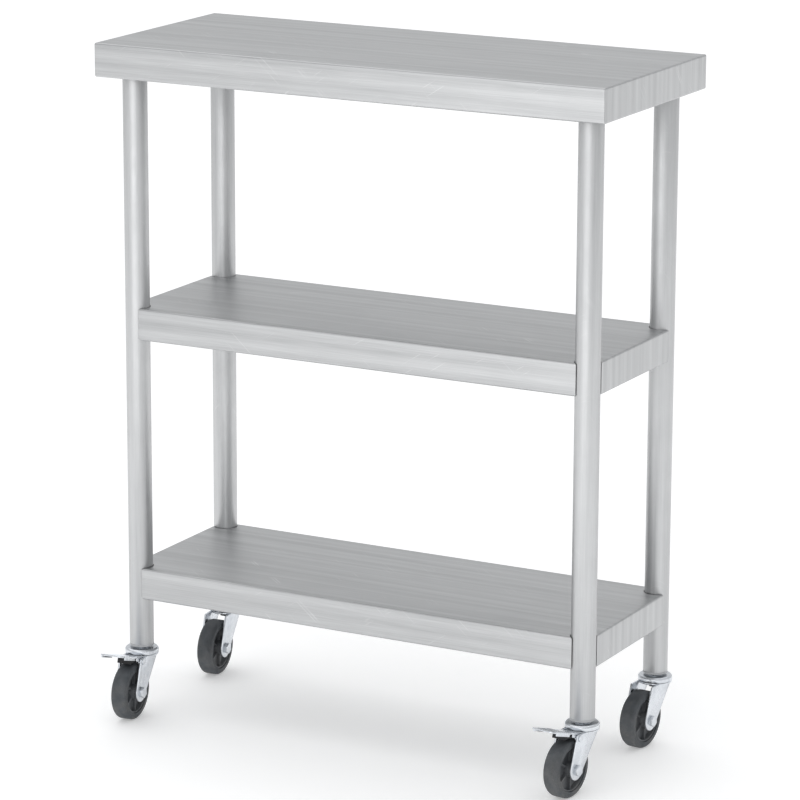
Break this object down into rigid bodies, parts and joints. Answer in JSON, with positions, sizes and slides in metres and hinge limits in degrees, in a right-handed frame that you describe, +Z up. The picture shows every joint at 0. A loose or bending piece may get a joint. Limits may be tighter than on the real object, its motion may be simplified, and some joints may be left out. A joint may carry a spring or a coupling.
{
  "type": "kitchen island cart",
  "caption": "Narrow three-tier stainless steel kitchen cart: flat worktop and two folded-edge shelves on round tube legs with swivel castors, the front castors with foot brakes.",
  "frame": {"origin": "on the floor, at the middle of the floor area that the whole cart covers, brake pedals included", "axes": "+X along the worktop to the right, +Y to the back, +Z up"},
  "size_m": [0.72, 0.3516, 0.9],
  "materials": {
    "brushed_sheet": "brushed stainless sheet, grain along the length",
    "leg_tube": "satin stainless tube",
    "mill_sheet": "mill-finish stainless sheet",
    "cast_alloy": "as-cast alloy",
    "zinc_plate": "bright zinc plate",
    "bearing_steel": "ground steel",
    "yellow_zinc": "yellow zinc plate",
    "black_steel": "black oxide",
    "tyre": "matt grey-black rubber",
    "core_plastic": "moulded dark grey plastic",
    "plug_plastic": "moulded grey plastic",
    "shoe_rubber": "black rubber"
  },
  "bodies": {
    "cart": {"worktop": "brushed_sheet", "worktop_stiffener": "mill_sheet", "socket_nuts": "zinc_plate", "socket_set_screws": "black_steel", "leg_socket_fl": "cast_alloy", "leg_socket_fr": "cast_alloy", "leg_socket_bl": "cast_alloy", "leg_socket_br": "cast_alloy", "leg_fl": "leg_tube", "leg_fr": "leg_tube", "leg_bl": "leg_tube", "leg_br": "leg_tube", "middle_shelf": "brushed_sheet", "middle_shelf_stiffener": "mill_sheet", "middle_shelf_saddles": "cast_alloy", "middle_shelf_bolts": "zinc_plate", "bottom_shelf": "brushed_sheet", "bottom_shelf_stiffener": "mill_sheet", "bottom_shelf_saddles": "cast_alloy", "bottom_shelf_bolts": "zinc_plate", "leg_rivet_nuts": "yellow_zinc", "stem_bolts": "zinc_plate", "swivel_balls": "bearing_steel", "expander_fl": "plug_plastic", "expander_fr": "plug_plastic", "expander_bl": "plug_plastic", "expander_br": "plug_plastic", "swivel_cap_fl": "zinc_plate", "swivel_cap_fr": "zinc_plate", "swivel_cap_bl": "zinc_plate", "swivel_cap_br": "zinc_plate"},
    "castor_fl": {"fork_fl": "zinc_plate", "axle_bolt_fl": "zinc_plate", "axle_sleeve_fl": "bearing_steel", "brake_pin_fl": "zinc_plate"},
    "wheel_fl": {"wheel_core_fl": "core_plastic", "tyre_fl": "tyre"},
    "brake_fl": {"brake_pedal_fl": "zinc_plate", "brake_shoe_fl": "shoe_rubber"},
    "castor_fr": {"fork_fr": "zinc_plate", "axle_bolt_fr": "zinc_plate", "axle_sleeve_fr": "bearing_steel", "brake_pin_fr": "zinc_plate"},
    "wheel_fr": {"wheel_core_fr": "core_plastic", "tyre_fr": "tyre"},
    "brake_fr": {"brake_pedal_fr": "zinc_plate", "brake_shoe_fr": "shoe_rubber"},
    "castor_bl": {"fork_bl": "zinc_plate", "axle_bolt_bl": "zinc_plate", "axle_sleeve_bl": "bearing_steel"},
    "wheel_bl": {"wheel_core_bl": "core_plastic", "tyre_bl": "tyre"},
    "castor_br": {"fork_br": "zinc_plate", "axle_bolt_br": "zinc_plate", "axle_sleeve_br": "bearing_steel"},
    "wheel_br": {"wheel_core_br": "core_plastic", "tyre_br": "tyre"}
  },
  "joints": [
    {"name": "castor_swivel_fl", "type": "hinge", "parent": "cart", "child": "castor_fl", "pos_m": [-0.324, -0.08394, 0.095], "axis": [0, 0, 1], "continuous": true},
    {"name": "castor_swivel_fr", "type": "hinge", "parent": "cart", "child": "castor_fr", "pos_m": [0.324, -0.08394, 0.095], "axis": [0, 0, 1], "continuous": true},
    {"name": "castor_swivel_bl", "type": "hinge", "parent": "cart", "child": "castor_bl", "pos_m": [-0.324, 0.13606, 0.095], "axis": [0, 0, 1], "continuous": true},
    {"name": "castor_swivel_br", "type": "hinge", "parent": "cart", "child": "castor_br", "pos_m": [0.324, 0.13606, 0.095], "axis": [0, 0, 1], "continuous": true},
    {"name": "wheel_spin_fl", "type": "hinge", "parent": "castor_fl", "child": "wheel_fl", "pos_m": [-0.32086, -0.1198, 0.0375], "axis": [0.9962, 0.0872, 0], "continuous": true},
    {"name": "wheel_spin_fr", "type": "hinge", "parent": "castor_fr", "child": "wheel_fr", "pos_m": [0.31899, -0.11959, 0.0375], "axis": [0.9903, -0.1392, 0], "continuous": true},
    {"name": "wheel_spin_bl", "type": "hinge", "parent": "castor_bl", "child": "wheel_bl", "pos_m": [-0.32086, 0.1002, 0.0375], "axis": [0.9962, 0.0872, 0], "continuous": true},
    {"name": "wheel_spin_br", "type": "hinge", "parent": "castor_br", "child": "wheel_br", "pos_m": [0.32024, 0.10025, 0.0375], "axis": [0.9945, -0.1045, 0], "continuous": true},
    {"name": "brake_press_fl", "type": "hinge", "parent": "castor_fl", "child": "brake_fl", "pos_m": [-0.32147, -0.11283, 0.07749], "axis": [0.9962, 0.0872, 0], "range_deg": [0, 20]},
    {"name": "brake_press_fr", "type": "hinge", "parent": "castor_fr", "child": "brake_fr", "pos_m": [0.31996, -0.11266, 0.07749], "axis": [0.9903, -0.1392, 0], "range_deg": [0, 20]}
  ]
}
